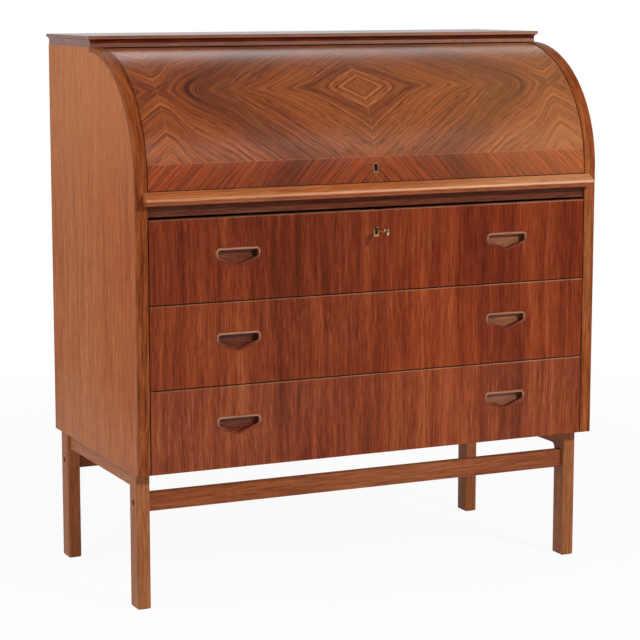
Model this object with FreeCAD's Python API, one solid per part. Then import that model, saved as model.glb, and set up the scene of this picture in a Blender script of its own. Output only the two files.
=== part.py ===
import FreeCAD, Part
import math
import os

from FreeCAD import Vector

# Cylinder desk: three drawers under a pull-out writing slab, and a quarter-round lid that turns
# back over a gallery when the slab is drawn. Sizes are in millimetres and angles in degrees.
# X runs to the right, Y to the back and Z up from the floor.

# Carcase
carcase_width = 900.0
writing_height = 729.0
axis_lift = 11.0
curve_radius = 225.0
back_reach = 225.0
side_thickness = 22.0
lipping_depth = 8.0
lipping_edge_radius = 1.5
bottom_thickness = 18.0
back_thickness = 5.0
back_inset = 2.0
back_rebate = 9.0

# Top board with its moulded edge
top_thickness = 20.0
top_ahead = 8.0
top_overhang = 4.0
top_lip_height = 6.0
top_quirk = 1.5
top_cove_depth = 3.5
top_cove_hollow = 1.2
top_fascia_height = 6.0
top_edge_radius = 1.5

# Leg frame
leg_height = 245.0
leg_width = 25.0
leg_depth = 35.0
leg_inset = 9.0
front_leg_setback = 37.0
rear_leg_setback = 5.0
leg_edge_radius = 3.0
foot_chamfer = 2.0
leg_rail_height = 33.0
leg_rail_thickness = 18.0
leg_rail_inset = 6.0
leg_rail_fillet = 9.0
stretcher_height = 33.0
stretcher_thickness = 16.0
stretcher_middle = 187.5
stretcher_edge_radius = 2.0
bolt_hole_radius = 5.5
bolt_hole_depth = 9.0
bolt_head_radius = 5.0
bolt_head_height = 5.0
bolt_socket_radius = 2.0
bolt_shank_radius = 3.0
bolt_grip = 30.0
screw_head_radius = 4.5
screw_head_height = 3.0
screw_shank_radius = 2.5
screw_sink = 12.0
screw_grip = 12.0
screw_edge = 5.0
screw_place_shares = (0.25, 0.75)

# Drawers
drawer_top_gap = 5.0
front_thickness = 18.0
front_edge_radius = 1.2
front_gap = 2.0
front_side_gap = 1.5
drawer_box_lift = 22.0
drawer_box_drop = 14.0
drawer_length = 380.0
drawer_side_thickness = 13.0
drawer_side_gap = 2.0
drawer_back_thickness = 12.0
drawer_bottom_thickness = 5.0
drawer_bottom_lift = 8.0
drawer_bottom_tongue = 5.0
runner_width = 8.0
runner_height = 16.0
runner_place_share = 0.46
runner_start = 14.0
runner_length = 355.0

# Recessed drawer pulls
pull_spread = 528.0
pull_width = 84.0
pull_height = 34.0
pull_end_height = 20.0
pull_drop = 52.0
pull_rim = 5.0
pull_proud = 2.0
pull_pocket = 13.0
pull_depth = 16.0
pull_undercut = 2.5
pull_undercut_start = 5.0
pull_top_radius = 8.0
pull_end_radius = 9.0
pull_point_radius = 7.0
pull_rim_round = 1.2

# Writing slab and the rails that it runs on
slab_thickness = 22.0
slab_behind_axis = 190.0
slab_side_gap = 1.5
strip_height = 22.0
strip_proud = 20.0
strip_end_inset = 14.0
strip_face_height = 9.0
strip_bulge = 1.0
strip_nose_radius = 4.0
slab_rail_thickness = 20.0
slab_rail_setback = 6.0
slab_front_rail_width = 60.0
slab_rear_rail_width = 40.0
slab_bearer_width = 35.0

# Lid
lid_recess = 2.0
lid_thickness = 11.0
lid_side_gap = 1.5
lid_bottom_gap = 1.0
lid_edge_radius = 1.0
lid_top_angle = 92.0
lid_turn_angle = 74.0
cheek_thickness = 7.0
cheek_band = 14.0
cheek_gap = 2.0
spoke_front_height = 26.0
lid_pin_radius = 5.0
pin_seat = 10.0

# Linkage that turns the lid back as the slab is drawn
slab_travel = 200.0
lever_behind_axis = 60.0
crank_radius = 25.0
link_thickness = 3.0
link_gap = 0.5
link_half_width = 4.5
link_boss_radius = 6.0
lever_half_width = 7.0
lever_boss_radius = 9.0
lever_stud_radius = 4.0
crank_pin_radius = 3.0
yoke_pin_radius = 4.0
yoke_pin_lift = 9.0
yoke_wall = 8.0
yoke_tang = 18.0
yoke_end_margin = 6.0

# Gallery at the back of the writing space
bay_count = 3
gallery_side_gap = 5.0
gallery_ahead = 25.0
gallery_behind = 160.0
gallery_height = 112.0
gallery_end_thickness = 8.0
gallery_board_thickness = 6.0
gallery_back_thickness = 4.0
gallery_shelf_thickness = 10.0
gallery_shelf_gap = 1.5
gallery_shelf_nosing = 3.0
gallery_edge_radius = 1.0
inner_drawer_height = 52.0
inner_drawer_depth = 172.0
inner_drawer_front = 9.0
inner_drawer_wall = 6.0
inner_drawer_bottom = 4.0
inner_drawer_gap = 0.5
knob_radius = 8.0
knob_neck_radius = 3.5
knob_length = 15.0
knob_head_length = 8.0
knob_tenon = 7.0
knob_tenon_radius = 2.5
knob_round = 2.6

# Locks, key and keyhole plates
key_reach = 46.0
key_drop = 34.5
key_shaft_radius = 2.5
key_bow_radius = 8.5
key_bow_eye_radius = 5.0
key_bow_thickness = 3.0
key_collar_radius = 3.6
key_collar_length = 4.0
key_bit_reach = 9.0
key_bit_thickness = 2.5
keyhole_radius = 3.3
keyhole_slot = 4.0
keyhole_length = 9.0
plate_head_radius = 5.5
plate_neck_width = 8.0
plate_foot_width = 9.6
plate_foot_drop = 12.5
plate_thickness = 1.2
lock_width = 50.0
lock_thickness = 10.0
lock_foot = 14.0
lock_plate = 1.2
bolt_width = 16.0
bolt_thickness = 4.0
bolt_setback = 3.0
bolt_lift = 4.0
bolt_travel = 10.0
bolt_top_gap = 0.5
mortise_end_room = 2.0
mortise_room = 0.8
lid_key_lift = 30.0
lid_lock_gap = 4.0
lid_lock_height = 42.0
lid_bolt_length = 16.0

# Clearances
glide_gap = 0.3
pin_gap = 0.05
open_pivot_gap = 0.3
bit_room = 1.5
cut_overrun = 5.0
parallel_share = 0.001

# Main places, worked out from the sizes above
front_y = (key_reach - curve_radius - back_reach) / 2
back_y = front_y + curve_radius + back_reach
axis_y = front_y + curve_radius
axis_z = writing_height + axis_lift
side_top_z = axis_z + curve_radius
outer_x = carcase_width / 2
inner_x = outer_x - side_thickness
back_inner_y = back_y - back_inset - back_thickness
top_front_y = axis_y - top_ahead
slab_bottom_z = writing_height - slab_thickness
slab_rail_top = slab_bottom_z - glide_gap
slab_rail_bottom = slab_rail_top - slab_rail_thickness
slab_rear_y = axis_y + slab_behind_axis
lid_outer = curve_radius - lid_recess
lid_inner = lid_outer - lid_thickness

drawer_names = ("lower_drawer", "middle_drawer", "upper_drawer")
fronts_top_z = slab_rail_bottom - drawer_top_gap
front_pitch = (fronts_top_z - leg_height + front_gap) / len(drawer_names)
front_height = front_pitch - front_gap
front_back_y = front_y + front_thickness
drawer_box_height = front_height - drawer_box_lift - drawer_box_drop
drawer_rear_y = front_back_y + drawer_length
drawer_outer_x = inner_x - drawer_side_gap
drawer_inner_x = drawer_outer_x - drawer_side_thickness

cheek_outer_x = inner_x - lid_side_gap
cheek_inner_x = cheek_outer_x - cheek_thickness
rod_outer_x = cheek_inner_x - link_gap
rod_inner_x = rod_outer_x - link_thickness
lever_outer_x = rod_inner_x - link_gap
lever_inner_x = lever_outer_x - link_thickness
yoke_outer_x = lever_inner_x - link_gap
yoke_inner_x = yoke_outer_x - link_thickness
gallery_x = yoke_inner_x - gallery_side_gap

# The lever swings as far as the lid turns, half to each side of plumb, and its foot moves the
# slab. The slab runs evenly with the lid, so the yoke's slot takes up the small difference.
half_turn = math.radians(lid_turn_angle / 2)
lever_reach = slab_travel / (2 * math.sin(half_turn))
even_share = math.sin(half_turn) / half_turn
slack_turn = math.acos(even_share)
yoke_slack = lever_reach * (math.sin(slack_turn) - even_share * slack_turn)
yoke_low_z = writing_height + yoke_pin_lift
lever_y = axis_y + lever_behind_axis
lever_z = yoke_low_z + lever_reach
yoke_y = lever_y + slab_travel / 2
yoke_high_z = lever_z - lever_reach * math.cos(half_turn)
yoke_slot_half = yoke_pin_radius + yoke_slack + open_pivot_gap
yoke_half = yoke_slot_half + yoke_wall
gallery_shelf_z = writing_height + gallery_shelf_gap
gallery_floor_z = gallery_shelf_z + gallery_shelf_thickness
gallery_top_z = gallery_floor_z + gallery_height
gallery_front_y = axis_y - gallery_ahead
gallery_back_y = axis_y + gallery_behind
bay_edge_x = gallery_x - gallery_end_thickness
bay_width = (2 * bay_edge_x - (bay_count - 1) * gallery_board_thickness) / bay_count

leg_outer_x = outer_x - leg_inset
leg_inner_x = leg_outer_x - leg_width
front_leg_y = front_y + front_leg_setback
rear_leg_y = back_y - rear_leg_setback - leg_depth
front_leg_middle = front_leg_y + leg_depth / 2
rear_leg_middle = rear_leg_y + leg_depth / 2

key_z = fronts_top_z - key_drop
lid_key_z = writing_height + lid_key_lift
lock_front_y = front_back_y - lock_thickness
bolt_y = lock_front_y + bolt_setback
lid_lock_y = axis_y - lid_inner
lid_lock_z = writing_height + lid_lock_gap
lid_bolt_y = lid_lock_y + bolt_setback


# Simple solids and helpers
def block(x0, x1, y0, y1, z0, z1):
    return Part.makeBox(x1 - x0, y1 - y0, z1 - z0, Vector(x0, y0, z0))


def round_x(radius, x0, x1, y, z):
    return Part.makeCylinder(radius, x1 - x0, Vector(x0, y, z), Vector(1, 0, 0))


def round_y(radius, y0, y1, x, z):
    return Part.makeCylinder(radius, y1 - y0, Vector(x, y0, z), Vector(0, 1, 0))


def round_z(radius, z0, z1, x, y):
    return Part.makeCylinder(radius, z1 - z0, Vector(x, y, z0), Vector(0, 0, 1))


def line(a, b):
    return Part.LineSegment(a, b).toShape()


def arc(a, middle, b):
    return Part.Arc(a, middle, b).toShape()


def prism(edges, direction):
    return Part.Face(Part.Wire(edges)).extrude(direction)


def polygon_prism(points, direction):
    closed = list(points) + [points[0]]
    return Part.Face(Part.makePolygon(closed)).extrude(direction)


def mirrored(shape):
    return shape.mirror(Vector(0, 0, 0), Vector(1, 0, 0))


def pair(shape):
    return Part.makeCompound([shape, mirrored(shape)])


def parallel_edges(shape, direction):
    chosen = []
    for edge in shape.Edges:
        along = edge.Vertexes[-1].Point - edge.Vertexes[0].Point
        if along.Length > 0 and along.cross(direction).Length < parallel_share * along.Length:
            chosen.append(edge)
    return chosen


def rounded_block(x0, x1, y0, y1, z0, z1, radius, direction):
    solid = block(x0, x1, y0, y1, z0, z1)
    return solid.makeFillet(radius, parallel_edges(solid, direction))


def on_lid_circle(x, radius, turn):
    angle = math.radians(turn)
    return Vector(x, axis_y - radius * math.cos(angle), axis_z + radius * math.sin(angle))


def outer_rim_edges(shape, outer):
    chosen = []
    for edge in shape.Edges:
        flat = edge.BoundBox.XLength < pin_gap
        in_front = abs(edge.BoundBox.YMax - axis_y + outer) < pin_gap
        on_curve = isinstance(edge.Curve, Part.Circle) and abs(edge.Curve.Radius - outer) < pin_gap
        if flat and (in_front or on_curve):
            chosen.append(edge)
    return chosen


def ease_front(solid, radius, direction):
    face = min(solid.Faces, key=lambda each: each.CenterOfMass.y)
    return solid.makeFillet(radius, parallel_edges(face, direction))


def lid_band(x0, x1, inner, outer, foot_z, turn):
    corners = [
        Vector(x0, axis_y - outer, foot_z),
        on_lid_circle(x0, outer, 0),
        on_lid_circle(x0, outer, turn),
        on_lid_circle(x0, inner, turn),
        on_lid_circle(x0, inner, 0),
        Vector(x0, axis_y - inner, foot_z),
    ]
    edges = [
        line(corners[0], corners[1]),
        arc(corners[1], on_lid_circle(x0, outer, turn / 2), corners[2]),
        line(corners[2], corners[3]),
        arc(corners[3], on_lid_circle(x0, inner, turn / 2), corners[4]),
        line(corners[4], corners[5]),
        line(corners[5], corners[0]),
    ]
    return prism(edges, Vector(x1 - x0, 0, 0))


def bar(x0, x1, start, end, half_width, boss_radius):
    along = Vector(0, end[0] - start[0], end[1] - start[1])
    along.normalize()
    across = Vector(0, -along.z, along.y) * half_width
    first = Vector(x0, start[0], start[1])
    last = Vector(x0, end[0], end[1])
    outline = [first + across, last + across, last - across, first - across]
    solid = polygon_prism(outline, Vector(x1 - x0, 0, 0))
    for y, z in (start, end):
        solid = solid.fuse(round_x(boss_radius, x0, x1, y, z))
    return solid.removeSplitter()


def save(name, shape):
    shape.exportStep("parts/" + name + ".step")


# Carcase
def right_side():
    inner_curve = curve_radius - lipping_depth
    edge_y = front_y + lipping_depth
    corners = [
        Vector(inner_x, edge_y, leg_height),
        Vector(inner_x, edge_y, axis_z),
        on_lid_circle(inner_x, inner_curve, 90),
        Vector(inner_x, axis_y, side_top_z),
        Vector(inner_x, back_y, side_top_z),
        Vector(inner_x, back_y, leg_height),
    ]
    edges = [
        line(corners[0], corners[1]),
        arc(corners[1], on_lid_circle(inner_x, inner_curve, 45), corners[2]),
        line(corners[2], corners[3]),
        line(corners[3], corners[4]),
        line(corners[4], corners[5]),
        line(corners[5], corners[0]),
    ]
    panel = prism(edges, Vector(side_thickness, 0, 0))
    rebate = block(
        inner_x - cut_overrun, inner_x + back_rebate,
        back_inner_y, back_y + cut_overrun,
        leg_height - cut_overrun, side_top_z + cut_overrun,
    )
    pin_hole = round_x(lid_pin_radius, inner_x, inner_x + pin_seat, axis_y, axis_z)
    stud_hole = round_x(lever_stud_radius, inner_x, inner_x + pin_seat, lever_y, lever_z)
    return panel.cut(rebate).cut(pin_hole).cut(stud_hole)


def right_lipping():
    inner_curve = curve_radius - lipping_depth
    lipping = lid_band(inner_x, outer_x, inner_curve, curve_radius, leg_height, 90)
    return lipping.makeFillet(lipping_edge_radius, outer_rim_edges(lipping, curve_radius))


def moulded_edges(place, top_z, bottom_z):
    lip_z = top_z - top_lip_height
    fascia_z = bottom_z + top_fascia_height
    deep = top_quirk + top_cove_depth
    hollow = place((top_quirk + deep) / 2 + top_cove_hollow, (lip_z + fascia_z) / 2 + top_cove_hollow)
    return [
        line(place(0, top_z), place(0, lip_z)),
        line(place(0, lip_z), place(top_quirk, lip_z)),
        arc(place(top_quirk, lip_z), hollow, place(deep, fascia_z)),
        line(place(deep, fascia_z), place(deep, bottom_z)),
    ]


def top_board():
    top_z = side_top_z + top_thickness
    end_x = outer_x + top_overhang
    deep = top_quirk + top_cove_depth

    def at_front(inset, z):
        return Vector(-end_x, top_front_y + inset, z)

    def at_right(inset, z):
        return Vector(end_x - inset, top_front_y, z)

    def at_left(inset, z):
        return Vector(inset - end_x, top_front_y, z)

    front_edges = moulded_edges(at_front, top_z, side_top_z)
    front_edges.append(line(at_front(deep, side_top_z), Vector(-end_x, back_y, side_top_z)))
    front_edges.append(line(Vector(-end_x, back_y, side_top_z), Vector(-end_x, back_y, top_z)))
    front_edges.append(line(Vector(-end_x, back_y, top_z), at_front(0, top_z)))
    lengthwise = prism(front_edges, Vector(2 * end_x, 0, 0))

    end_edges = moulded_edges(at_right, top_z, side_top_z)
    end_edges.append(line(at_right(deep, side_top_z), at_left(deep, side_top_z)))
    end_edges.extend(reversed(moulded_edges(at_left, top_z, side_top_z)))
    end_edges.append(line(at_left(0, top_z), at_right(0, top_z)))
    crosswise = prism(end_edges, Vector(0, back_y - top_front_y, 0))
    board = lengthwise.common(crosswise)
    top_face = max(board.Faces, key=lambda face: face.CenterOfMass.z)
    seen = [edge for edge in top_face.Edges if edge.CenterOfMass.y < back_y - top_edge_radius]
    return board.makeFillet(top_edge_radius, seen)


def back_panel():
    edge_x = inner_x + back_rebate
    return block(-edge_x, edge_x, back_inner_y, back_y - back_inset, leg_height, side_top_z)


def bottom_board():
    board = block(
        -inner_x, inner_x, front_back_y + glide_gap, back_inner_y,
        leg_height, leg_height + bottom_thickness,
    )
    for x, y in screw_places():
        board = board.cut(round_z(screw_shank_radius, leg_height, leg_height + screw_grip, x, y))
    return board


def slab_front_rail():
    rail_y = front_y + slab_rail_setback
    rail = block(
        -inner_x, inner_x, rail_y, rail_y + slab_front_rail_width, slab_rail_bottom, slab_rail_top,
    )
    half = bolt_width / 2 + mortise_room
    mortise = block(
        -half, half, bolt_y - mortise_room, bolt_y + bolt_thickness + mortise_room,
        slab_rail_bottom - cut_overrun, slab_rail_bottom + bolt_travel - drawer_top_gap + mortise_end_room,
    )
    return rail.cut(mortise)


def slab_rear_rail():
    rail_y = back_inner_y - slab_rear_rail_width
    return block(-inner_x, inner_x, rail_y, back_inner_y, slab_rail_bottom, slab_rail_top)


def slab_bearers():
    start_y = front_y + slab_rail_setback + slab_front_rail_width
    end_y = back_inner_y - slab_rear_rail_width
    return pair(block(
        inner_x - slab_bearer_width, inner_x, start_y, end_y, slab_rail_bottom, slab_rail_top,
    ))


def drawer_runners():
    runners = []
    start_y = front_back_y + runner_start
    for index in range(len(drawer_names)):
        middle_z = runner_middle(index)
        runners.extend(pair(block(
            inner_x - runner_width, inner_x, start_y, start_y + runner_length,
            middle_z - runner_height / 2, middle_z + runner_height / 2,
        )).Solids)
    return Part.makeCompound(runners)


# Leg frame
def leg(x_side, leg_y):
    post = rounded_block(
        leg_inner_x, leg_outer_x, leg_y, leg_y + leg_depth, 0, leg_height,
        leg_edge_radius, Vector(0, 0, 1),
    )
    foot = min(post.Faces, key=lambda face: face.CenterOfMass.z)
    post = post.makeChamfer(foot_chamfer, foot.Edges)
    middle_y = leg_y + leg_depth / 2
    seat_x = leg_outer_x - bolt_hole_depth
    recess = round_x(bolt_hole_radius, seat_x, leg_outer_x + cut_overrun, middle_y, stretcher_middle)
    shank = round_x(bolt_shank_radius, leg_inner_x - cut_overrun, seat_x, middle_y, stretcher_middle)
    post = post.cut(recess).cut(shank)
    return post if x_side > 0 else mirrored(post)


def leg_rail():
    x0 = leg_outer_x - leg_rail_inset - leg_rail_thickness
    y0 = front_leg_y + leg_depth
    y1 = rear_leg_y
    low_z = leg_height - leg_rail_height
    end_z = low_z - leg_rail_fillet
    reach = leg_rail_fillet * (1 - math.sqrt(0.5))
    corners = [
        Vector(x0, y0, leg_height),
        Vector(x0, y0, end_z),
        Vector(x0, y0 + leg_rail_fillet, low_z),
        Vector(x0, y1 - leg_rail_fillet, low_z),
        Vector(x0, y1, end_z),
        Vector(x0, y1, leg_height),
    ]
    edges = [
        line(corners[0], corners[1]),
        arc(corners[1], Vector(x0, y0 + reach, low_z - reach), corners[2]),
        line(corners[2], corners[3]),
        arc(corners[3], Vector(x0, y1 - reach, low_z - reach), corners[4]),
        line(corners[4], corners[5]),
        line(corners[5], corners[0]),
    ]
    rail = prism(edges, Vector(leg_rail_thickness, 0, 0))
    for x, y in screw_places():
        if x > 0:
            rail = rail.cut(round_z(screw_head_radius, low_z - cut_overrun, low_z + screw_sink, x, y))
            rail = rail.cut(round_z(screw_shank_radius, low_z, leg_height + cut_overrun, x, y))
    return rail


def screw_places():
    x = leg_outer_x - leg_rail_inset - leg_rail_thickness + screw_edge
    y0 = front_leg_y + leg_depth
    length = rear_leg_y - y0
    places = []
    for share in screw_place_shares:
        places.append((x, y0 + length * share))
        places.append((-x, y0 + length * share))
    return places


def leg_rail_screws():
    head_z = leg_height - leg_rail_height + screw_sink
    screws = []
    for x, y in screw_places():
        head = round_z(screw_head_radius, head_z - screw_head_height, head_z, x, y)
        shank = round_z(screw_shank_radius, head_z, leg_height + screw_grip, x, y)
        screws.append(head.fuse(shank).removeSplitter())
    return Part.makeCompound(screws)


def stretcher(middle_y):
    half = stretcher_thickness / 2
    rail = rounded_block(
        -leg_inner_x, leg_inner_x, middle_y - half, middle_y + half,
        stretcher_middle - stretcher_height / 2, stretcher_middle + stretcher_height / 2,
        stretcher_edge_radius, Vector(1, 0, 0),
    )
    hole = round_x(
        bolt_shank_radius, leg_inner_x - bolt_grip, leg_inner_x + cut_overrun,
        middle_y, stretcher_middle,
    )
    return rail.cut(hole).cut(mirrored(hole))


def stretcher_bolts():
    seat_x = leg_outer_x - bolt_hole_depth
    bolts = []
    for middle_y in (front_leg_middle, rear_leg_middle):
        head = round_x(bolt_head_radius, seat_x, seat_x + bolt_head_height, middle_y, stretcher_middle)
        socket = round_x(
            bolt_socket_radius, seat_x + bolt_head_height / 2, seat_x + bolt_head_height + cut_overrun,
            middle_y, stretcher_middle,
        )
        shank = round_x(
            bolt_shank_radius, leg_inner_x - bolt_grip, seat_x, middle_y, stretcher_middle,
        )
        bolts.extend(pair(head.cut(socket).fuse(shank).removeSplitter()).Solids)
    return Part.makeCompound(bolts)


# Writing slab
def writing_slab():
    edge_x = inner_x - slab_side_gap
    board = block(-edge_x, edge_x, front_y - glide_gap, slab_rear_y, slab_bottom_z, writing_height)
    slot = block(
        yoke_inner_x, yoke_outer_x, yoke_y - yoke_half, yoke_y + yoke_half,
        writing_height - yoke_tang, writing_height + cut_overrun,
    )
    half = bolt_width / 2 + mortise_room
    strike = block(
        -half, half, lid_bolt_y - mortise_room, lid_bolt_y + bolt_thickness + mortise_room,
        writing_height - bolt_travel + lid_lock_gap - mortise_end_room, writing_height + cut_overrun,
    )
    return board.cut(slot).cut(mirrored(slot)).cut(strike)


def slab_strip():
    end_x = outer_x - strip_end_inset
    rear_y = front_y - glide_gap
    nose_y = front_y - strip_proud
    foot_z = writing_height - strip_height
    nose_z = foot_z + strip_face_height
    top = Vector(-end_x, rear_y, writing_height)
    nose = Vector(-end_x, nose_y, nose_z)
    bulge = Vector(-end_x, (rear_y + nose_y) / 2, (writing_height + nose_z) / 2 + strip_bulge)
    edges = [
        arc(top, bulge, nose),
        line(nose, Vector(-end_x, nose_y, foot_z)),
        line(Vector(-end_x, nose_y, foot_z), Vector(-end_x, rear_y, foot_z)),
        line(Vector(-end_x, rear_y, foot_z), top),
    ]
    strip = prism(edges, Vector(2 * end_x, 0, 0))
    rounded = [
        edge for edge in parallel_edges(strip, Vector(1, 0, 0))
        if edge.CenterOfMass.y < front_y - strip_proud / 2
    ]
    return strip.makeFillet(strip_nose_radius, rounded)


def slab_yokes():
    top_z = yoke_high_z + yoke_pin_radius + open_pivot_gap + yoke_end_margin
    plate = block(
        yoke_inner_x, yoke_outer_x, yoke_y - yoke_half, yoke_y + yoke_half,
        writing_height - yoke_tang, top_z,
    )
    slot = block(
        yoke_inner_x - cut_overrun, yoke_outer_x + cut_overrun,
        yoke_y - yoke_slot_half, yoke_y + yoke_slot_half,
        yoke_low_z - yoke_pin_radius - open_pivot_gap, yoke_high_z + yoke_pin_radius + open_pivot_gap,
    )
    return pair(plate.cut(slot))


# Linkage
def crank_place(centre_y, centre_z):
    return (centre_y - crank_radius, centre_z)


def link_levers():
    hub = (lever_y, lever_z)
    foot = (yoke_y, yoke_high_z)
    crank = crank_place(lever_y, lever_z)
    lever = bar(lever_inner_x, lever_outer_x, hub, foot, lever_half_width, lever_boss_radius)
    lever = lever.fuse(bar(lever_inner_x, lever_outer_x, hub, crank, lever_half_width, link_boss_radius))
    bore = round_x(
        lever_stud_radius + pin_gap, lever_inner_x - cut_overrun, lever_outer_x + cut_overrun, *hub,
    )
    lever = lever.removeSplitter().cut(bore)
    foot_pin = round_x(yoke_pin_radius, yoke_inner_x, lever_outer_x, *foot)
    crank_pin = round_x(crank_pin_radius, lever_inner_x, rod_outer_x, *crank)
    return pair(lever.fuse(foot_pin).fuse(crank_pin).removeSplitter())


def link_rods():
    upper = crank_place(lever_y, lever_z)
    lower = crank_place(axis_y, axis_z)
    rod = bar(rod_inner_x, rod_outer_x, lower, upper, link_half_width, link_boss_radius)
    x0 = rod_inner_x - cut_overrun
    x1 = rod_outer_x + cut_overrun
    rod = rod.cut(round_x(crank_pin_radius + pin_gap, x0, x1, *upper))
    return pair(rod.cut(round_x(crank_pin_radius + open_pivot_gap, x0, x1, *lower)))


def lever_pivot_studs():
    return pair(round_x(lever_stud_radius, lever_inner_x, inner_x + pin_seat, lever_y, lever_z))


def lid_pivot_pins():
    return pair(round_x(lid_pin_radius, cheek_inner_x, inner_x + pin_seat, axis_y, axis_z))


# Lid
def lid_shell():
    edge_x = inner_x - lid_side_gap
    foot_z = writing_height + lid_bottom_gap
    shell = lid_band(-edge_x, edge_x, lid_inner, lid_outer, foot_z, lid_top_angle)
    foot = [
        edge for edge in parallel_edges(shell, Vector(1, 0, 0))
        if edge.CenterOfMass.z < axis_z - lid_edge_radius
    ]
    shell = shell.makeFillet(lid_edge_radius, foot)
    front = axis_y - lid_outer - cut_overrun
    shell = shell.cut(keyhole(front, axis_y - lid_inner + lock_thickness, lid_key_z))
    recess = plate_blank(front, axis_y - lid_inner, lid_key_z)
    core = round_x(lid_outer - plate_thickness, -plate_foot_width, plate_foot_width, axis_y, axis_z)
    return shell.cut(recess.cut(core))


def lid_escutcheon():
    blank = plate_blank(axis_y - lid_outer - cut_overrun, axis_y - lid_inner, lid_key_z)
    skin = round_x(lid_outer, -plate_foot_width, plate_foot_width, axis_y, axis_z)
    core = round_x(lid_outer - plate_thickness, -plate_foot_width, plate_foot_width, axis_y, axis_z)
    hole = keyhole(axis_y - lid_outer - cut_overrun, axis_y, lid_key_z)
    return blank.common(skin.cut(core)).cut(hole)


def lid_cheeks():
    foot_z = writing_height + cheek_gap
    hub_radius = axis_z - foot_z
    length = cheek_outer_x - cheek_inner_x
    cheek = lid_band(
        cheek_inner_x, cheek_outer_x, lid_inner - cheek_band, lid_inner, foot_z, lid_top_angle,
    )
    tip_y = axis_y - lid_inner + cheek_band / 2
    spoke = polygon_prism(
        [
            Vector(cheek_inner_x, axis_y, foot_z),
            Vector(cheek_inner_x, tip_y, foot_z),
            Vector(cheek_inner_x, tip_y, axis_z + spoke_front_height),
            Vector(cheek_inner_x, axis_y, axis_z + hub_radius),
        ],
        Vector(length, 0, 0),
    )
    hub = round_x(hub_radius, cheek_inner_x, cheek_outer_x, axis_y, axis_z)
    bore = round_x(
        lid_pin_radius + pin_gap, cheek_inner_x - cut_overrun, cheek_outer_x + cut_overrun,
        axis_y, axis_z,
    )
    cheek = cheek.fuse(spoke).fuse(hub).removeSplitter().cut(bore)
    crank_pin = round_x(crank_pin_radius, rod_inner_x, cheek_outer_x, *crank_place(axis_y, axis_z))
    return pair(cheek.fuse(crank_pin).removeSplitter())


def lid_lock_case():
    half = lock_width / 2
    case = block(
        -half, half, lid_lock_y, lid_lock_y + lock_thickness,
        lid_lock_z, lid_lock_z + lid_lock_height,
    )
    case = case.common(round_x(lid_inner, -half, half, axis_y, axis_z))
    wide = bolt_width / 2 + glide_gap
    channel = block(
        -wide, wide, lid_bolt_y - glide_gap, lid_bolt_y + bolt_thickness + glide_gap,
        lid_lock_z - cut_overrun, lid_lock_z + lid_bolt_length + glide_gap,
    )
    hole = keyhole(lid_lock_y, lid_lock_y + lock_thickness - lock_plate, lid_key_z)
    return case.cut(channel).cut(hole)


def lid_lock_bolt():
    half = bolt_width / 2
    return block(
        -half, half, lid_bolt_y, lid_bolt_y + bolt_thickness,
        lid_lock_z, lid_lock_z + lid_bolt_length,
    )


# Keyholes, plates and the lock of the upper drawer
def keyhole(y0, y1, z):
    half = keyhole_slot / 2
    slot = block(-half, half, y0, y1, z - keyhole_length, z)
    return round_y(keyhole_radius, y0, y1, 0, z).fuse(slot).removeSplitter()


def plate_blank(y0, y1, z):
    neck = plate_neck_width / 2
    foot = plate_foot_width / 2
    foot_z = z - plate_foot_drop
    outline = [
        Vector(-neck, y0, z), Vector(-foot, y0, foot_z), Vector(foot, y0, foot_z), Vector(neck, y0, z),
    ]
    body = polygon_prism(outline, Vector(0, y1 - y0, 0))
    return body.fuse(round_y(plate_head_radius, y0, y1, 0, z)).removeSplitter()


def drawer_escutcheon():
    plate = plate_blank(front_y, front_y + plate_thickness, key_z)
    return plate.cut(keyhole(front_y - cut_overrun, front_back_y, key_z))


def drawer_lock_case():
    half = lock_width / 2
    case = block(-half, half, lock_front_y, front_back_y, key_z - lock_foot, fronts_top_z)
    room = round_y(
        key_bit_reach + bit_room, lock_front_y + lock_plate, front_back_y - lock_plate, 0, key_z,
    )
    shaft = round_y(key_shaft_radius + pin_gap, lock_front_y - cut_overrun, front_back_y, 0, key_z)
    wide = bolt_width / 2 + glide_gap
    channel = block(
        -wide, wide, bolt_y - glide_gap, bolt_y + bolt_thickness + glide_gap,
        key_z + bolt_lift - glide_gap, fronts_top_z + cut_overrun,
    )
    return case.cut(room).cut(shaft).cut(channel)


def drawer_lock_bolt():
    half = bolt_width / 2
    return block(
        -half, half, bolt_y, bolt_y + bolt_thickness, key_z + bolt_lift, fronts_top_z - bolt_top_gap,
    )


def drawer_key():
    bow_y = front_y - key_reach + key_bow_radius
    half = key_bow_thickness / 2
    bow = round_x(key_bow_radius, -half, half, bow_y, key_z)
    eye = round_x(key_bow_eye_radius, -half - cut_overrun, half + cut_overrun, bow_y, key_z)
    stem_y = bow_y + (key_bow_radius + key_bow_eye_radius) / 2
    stem = round_y(key_shaft_radius, stem_y, front_back_y - lock_plate - glide_gap, 0, key_z)
    collar_y = bow_y + key_bow_radius
    collar = round_y(key_collar_radius, collar_y, collar_y + key_collar_length, 0, key_z)
    thin = key_bit_thickness / 2
    bit = block(-thin, thin, bolt_y, bolt_y + bolt_thickness, key_z - key_bit_reach, key_z)
    return bow.cut(eye).fuse(stem).fuse(collar).fuse(bit).removeSplitter()


# Drawers
def front_bottom(index):
    return leg_height + index * front_pitch


def box_bottom(index):
    return front_bottom(index) + drawer_box_lift


def runner_middle(index):
    return box_bottom(index) + drawer_box_height * runner_place_share


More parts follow.
